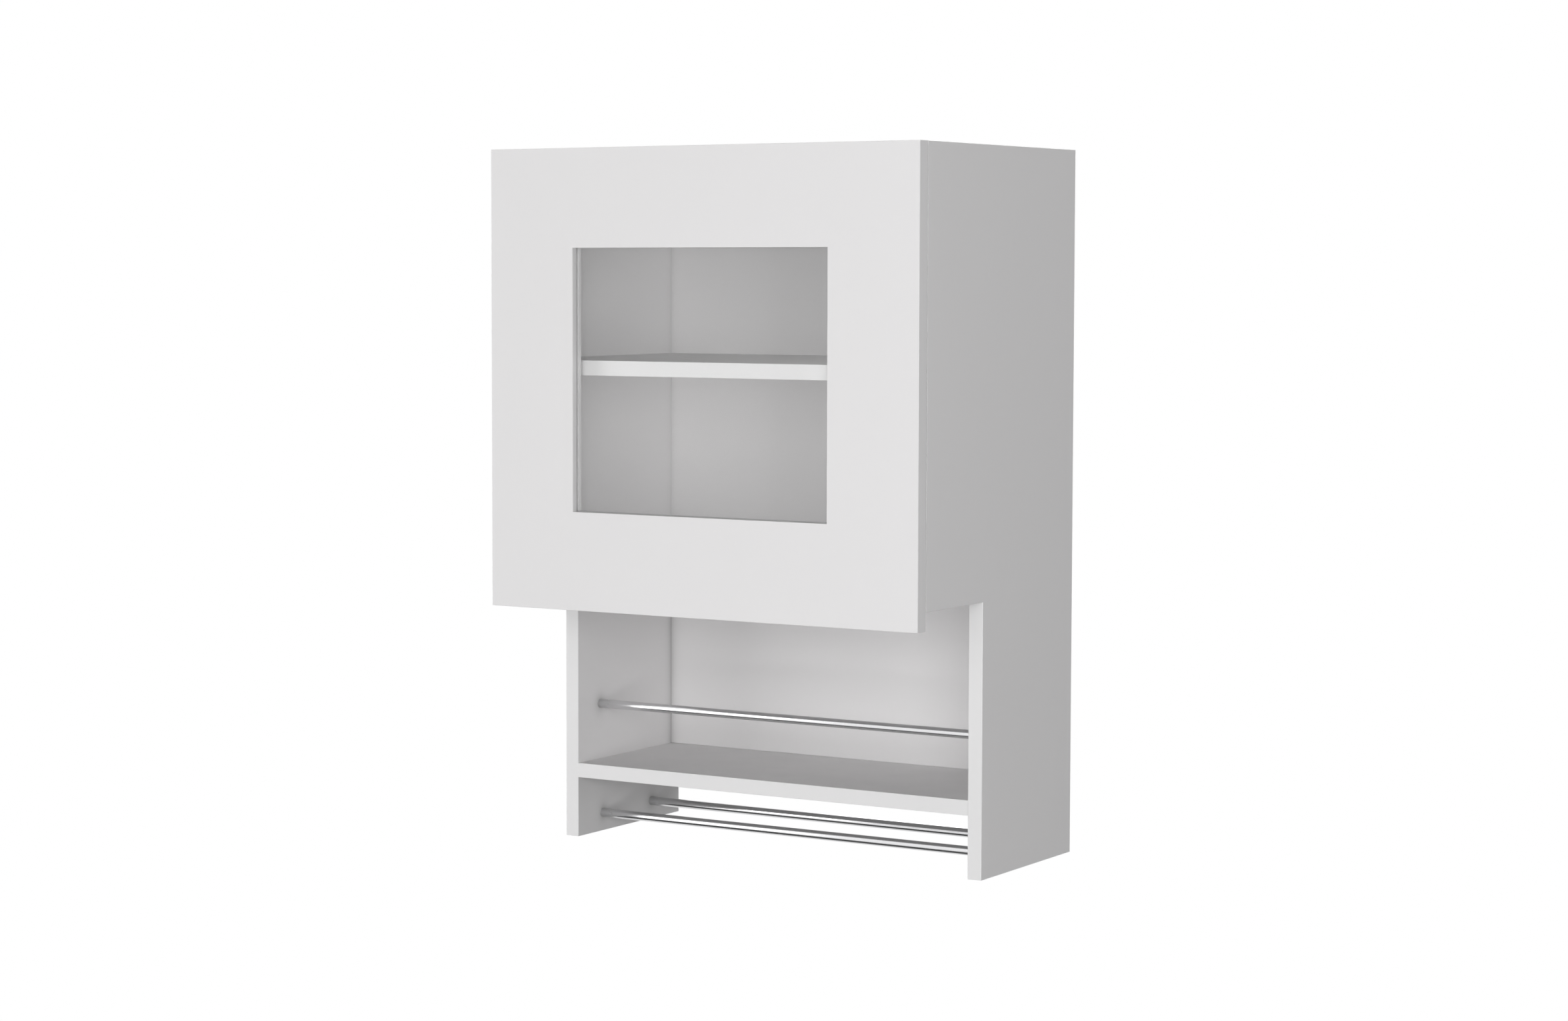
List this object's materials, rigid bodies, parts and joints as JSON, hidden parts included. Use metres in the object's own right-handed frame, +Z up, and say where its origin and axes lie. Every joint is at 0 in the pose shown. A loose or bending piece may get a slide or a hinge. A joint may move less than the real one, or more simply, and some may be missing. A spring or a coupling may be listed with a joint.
{
  "type": "wall cabinet",
  "caption": "White wall cabinet: a glazed overlay door closes a cupboard with a shelf, over an open bay with a gallery rail and hanging rods.",
  "frame": {"origin": "centre of the four wall-screw holes, on the wall plane at the back panel's rear face", "axes": "+Z up, +X to the viewer's right, +Y into the wall, so the door faces -Y"},
  "size_m": [0.485, 0.325, 0.708],
  "materials": {
    "white_melamine": "satin white melamine on board",
    "chromed_steel": "polished chrome",
    "clear_glass": "clear float",
    "nickel_steel": "nickel plate",
    "zinc_steel": "zinc plate",
    "beech": "bare beech",
    "white_plastic": "moulded",
    "magnet": "ferrite and steel",
    "clear_rubber": "clear silicone"
  },
  "bodies": {
    "carcass": {"left_side": "white_melamine", "right_side": "white_melamine", "top_panel": "white_melamine", "cupboard_floor": "white_melamine", "cupboard_shelf": "white_melamine", "open_shelf": "white_melamine", "back_panel": "white_melamine", "gallery_rail": "chromed_steel", "front_hanging_rod": "chromed_steel", "rear_hanging_rod": "chromed_steel", "upper_hinge_arm": "nickel_steel", "lower_hinge_arm": "nickel_steel", "upper_hinge_plate": "nickel_steel", "lower_hinge_plate": "nickel_steel", "cam_locks": "zinc_steel", "cam_bolts": "zinc_steel", "plate_screws": "zinc_steel", "arm_screws": "zinc_steel", "catch_screws": "zinc_steel", "dowels": "beech", "catch_housing": "white_plastic", "catch_magnet": "magnet"},
    "door": {"door_board": "white_melamine", "glass_pane": "clear_glass", "glass_bead_top": "white_melamine", "glass_bead_bottom": "white_melamine", "glass_bead_left": "white_melamine", "glass_bead_right": "white_melamine", "bead_pins": "zinc_steel", "upper_hinge_cup": "nickel_steel", "lower_hinge_cup": "nickel_steel", "upper_hinge_pin": "nickel_steel", "lower_hinge_pin": "nickel_steel", "cup_screws": "zinc_steel", "strike_plate": "nickel_steel", "strike_screw": "zinc_steel", "door_bumpers": "clear_rubber"}
  },
  "joints": [
    {"name": "door_swing", "type": "hinge", "parent": "carcass", "child": "door", "pos_m": [-0.23608, -0.3195, 0], "axis": [0, 0, -1], "range_deg": [0, 95]}
  ]
}
